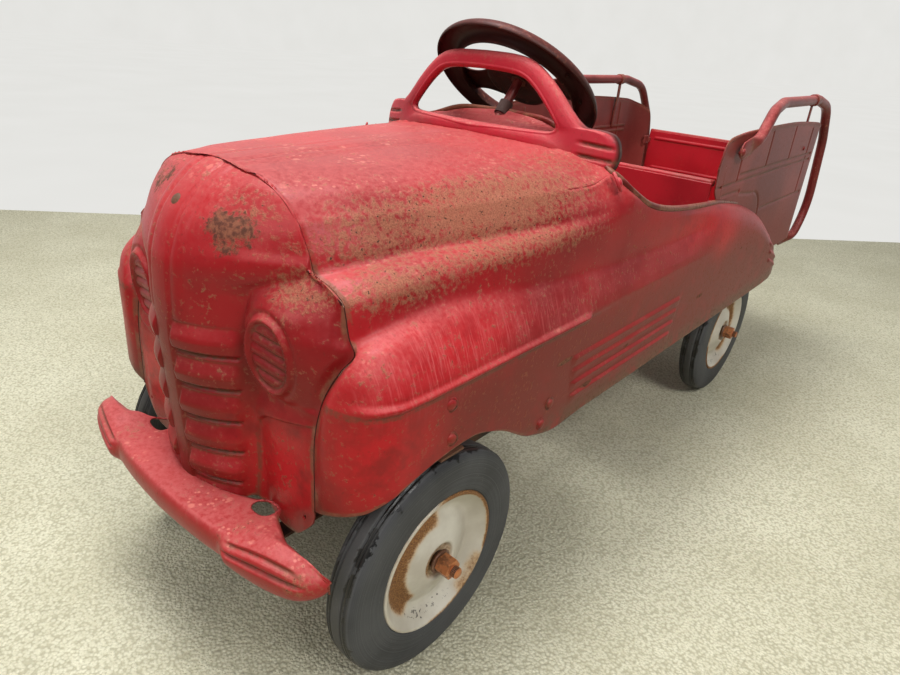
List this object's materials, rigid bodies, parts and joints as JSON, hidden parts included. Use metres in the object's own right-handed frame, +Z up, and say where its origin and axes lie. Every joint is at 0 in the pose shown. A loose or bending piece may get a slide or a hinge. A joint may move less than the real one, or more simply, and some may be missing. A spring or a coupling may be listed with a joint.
{
  "type": "pedal car",
  "caption": "Child's sheet-metal pedal station wagon with pressed body, wagon bed with drop tailgate, steered front wheels and pedal-and-crank drive to a rear wheel.",
  "frame": {"origin": "on the ground, on the middle plane, half way along the car", "axes": "+X to the car's left side, -Y to its front, +Z up"},
  "size_m": [0.374, 1.1767, 0.5167],
  "materials": {
    "red_enamel": "old red enamel, chalky on top, rust speckled",
    "bright_red_enamel": "red enamel, less faded",
    "faded_red_enamel": "faded brown-red enamel",
    "brown_enamel": "dull brown-red enamel",
    "dark_steel": "dull oxidised steel",
    "bronze_bush": "dull bronze",
    "black_rubber": "matt",
    "rusty_nut": "orange rust over worn plating",
    "tyre_rubber": "matt solid rubber",
    "cream_enamel": "cream enamel with rust rings",
    "hub_steel": "rust-stained steel"
  },
  "bodies": {
    "chassis": {"axle_hangers": "dark_steel", "bed_floor": "bright_red_enamel", "body_rivets": "red_enamel", "body_shell": "red_enamel", "bumper_irons": "dark_steel", "column_bracket": "dark_steel", "column_grommet": "black_rubber", "cross_members": "dark_steel", "frame_rail_left": "dark_steel", "frame_rail_right": "dark_steel", "front_axle_beam": "dark_steel", "front_bumper": "red_enamel", "hand_rail_left": "faded_red_enamel", "hand_rail_right": "faded_red_enamel", "hanger_bracket": "dark_steel", "hanger_rod": "dark_steel", "kingpins": "dark_steel", "nose_panel": "red_enamel", "rail_clips": "faded_red_enamel", "rear_axle_bushes": "bronze_bush", "rear_axle_hangers": "dark_steel", "seat_back": "bright_red_enamel", "seat_pan": "bright_red_enamel", "tailgate_catches": "faded_red_enamel", "tailgate_hinge_pin": "dark_steel", "wagon_side_panel_left": "faded_red_enamel", "wagon_side_panel_right": "faded_red_enamel", "windshield_frame": "red_enamel"},
    "tailgate": {"tailgate": "bright_red_enamel"},
    "steering": {"steering_wheel": "brown_enamel", "steering_column": "brown_enamel", "steering_wheel_nut": "dark_steel"},
    "knuckle_left": {"steering_knuckle_left": "dark_steel", "front_axle_nut_left": "rusty_nut"},
    "knuckle_right": {"steering_knuckle_right": "dark_steel", "front_axle_nut_right": "rusty_nut"},
    "tie_rod": {"tie_rod": "dark_steel", "tie_rod_pins": "dark_steel"},
    "front_left_wheel": {"front_left_tyre": "tyre_rubber", "front_left_wheel_disc": "cream_enamel", "front_left_hub": "hub_steel"},
    "front_right_wheel": {"front_right_tyre": "tyre_rubber", "front_right_wheel_disc": "cream_enamel", "front_right_hub": "hub_steel"},
    "crank": {"crank_axle": "dark_steel", "rear_axle_nuts": "rusty_nut", "rear_left_tyre": "tyre_rubber", "rear_left_wheel_disc": "cream_enamel", "rear_left_hub": "hub_steel"},
    "rear_right_wheel": {"rear_right_tyre": "tyre_rubber", "rear_right_wheel_disc": "cream_enamel", "rear_right_hub": "hub_steel"},
    "pedal_rod_left": {"pedal_rod_left": "dark_steel"},
    "pedal_rod_right": {"pedal_rod_right": "dark_steel"},
    "pedal_left": {"pedal_left": "black_rubber"},
    "pedal_right": {"pedal_right": "black_rubber"},
    "hanger_left": {"hanger_strap_left": "dark_steel"},
    "hanger_right": {"hanger_strap_right": "dark_steel"}
  },
  "joints": [
    {"name": "steering_turn", "type": "hinge", "parent": "chassis", "child": "steering", "pos_m": [0, -0.1653, 0.453], "axis": [0, 0.6225, 0.7826], "range_deg": [-20, 20]},
    {"name": "left_steer", "type": "hinge", "parent": "chassis", "child": "knuckle_left", "pos_m": [0.112, -0.4353, 0.1016], "axis": [0, 0, 1], "range_deg": [-20, 20]},
    {"name": "right_steer", "type": "hinge", "parent": "chassis", "child": "knuckle_right", "pos_m": [-0.112, -0.4353, 0.1016], "axis": [0, 0, 1], "range_deg": [-20, 20]},
    {"name": "tie_rod_pivot", "type": "hinge", "parent": "knuckle_left", "child": "tie_rod", "pos_m": [0.112, -0.3903, 0.0885], "axis": [0, 0, 1], "range_deg": [-20, 20]},
    {"name": "front_left_spin", "type": "hinge", "parent": "knuckle_left", "child": "front_left_wheel", "pos_m": [0.15, -0.4353, 0.1016], "axis": [1, 0, 0], "continuous": true},
    {"name": "front_right_spin", "type": "hinge", "parent": "knuckle_right", "child": "front_right_wheel", "pos_m": [-0.15, -0.4353, 0.1016], "axis": [1, 0, 0], "continuous": true},
    {"name": "crank_spin", "type": "hinge", "parent": "chassis", "child": "crank", "pos_m": [0, 0.2567, 0.1016], "axis": [1, 0, 0], "continuous": true},
    {"name": "rear_right_spin", "type": "hinge", "parent": "chassis", "child": "rear_right_wheel", "pos_m": [-0.14, 0.2567, 0.1016], "axis": [1, 0, 0], "continuous": true},
    {"name": "left_rod_pivot", "type": "hinge", "parent": "crank", "child": "pedal_rod_left", "pos_m": [0.07, 0.2117, 0.1016], "axis": [1, 0, 0], "continuous": true},
    {"name": "right_rod_pivot", "type": "hinge", "parent": "crank", "child": "pedal_rod_right", "pos_m": [-0.07, 0.3017, 0.1016], "axis": [1, 0, 0], "continuous": true},
    {"name": "left_pedal_tilt", "type": "hinge", "parent": "pedal_rod_left", "child": "pedal_left", "pos_m": [0.04, -0.3503, 0.1016], "axis": [1, 0, 0], "range_deg": [-40, 40]},
    {"name": "right_pedal_tilt", "type": "hinge", "parent": "pedal_rod_right", "child": "pedal_right", "pos_m": [-0.04, -0.2603, 0.1016], "axis": [1, 0, 0], "range_deg": [-40, 40]},
    {"name": "left_hanger_swing", "type": "hinge", "parent": "chassis", "child": "hanger_left", "pos_m": [0.08, -0.3053, 0.33], "axis": [1, 0, 0], "range_deg": [-14, 36]},
    {"name": "right_hanger_swing", "type": "hinge", "parent": "chassis", "child": "hanger_right", "pos_m": [-0.08, -0.3053, 0.33], "axis": [1, 0, 0], "range_deg": [-36, 14]},
    {"name": "tailgate_drop", "type": "hinge", "parent": "chassis", "child": "tailgate", "pos_m": [0, 0.4962, 0.228], "axis": [-1, 0, 0], "range_deg": [0, 90]}
  ],
  "couplings": [
    {"joint": "left_steer", "follows": "steering_turn", "ratio": 1},
    {"joint": "right_steer", "follows": "steering_turn", "ratio": 1},
    {"joint": "tie_rod_pivot", "follows": "steering_turn", "ratio": -1},
    {"joint": "left_rod_pivot", "follows": "crank_spin", "ratio": -1},
    {"joint": "right_rod_pivot", "follows": "crank_spin", "ratio": -1}
  ]
}
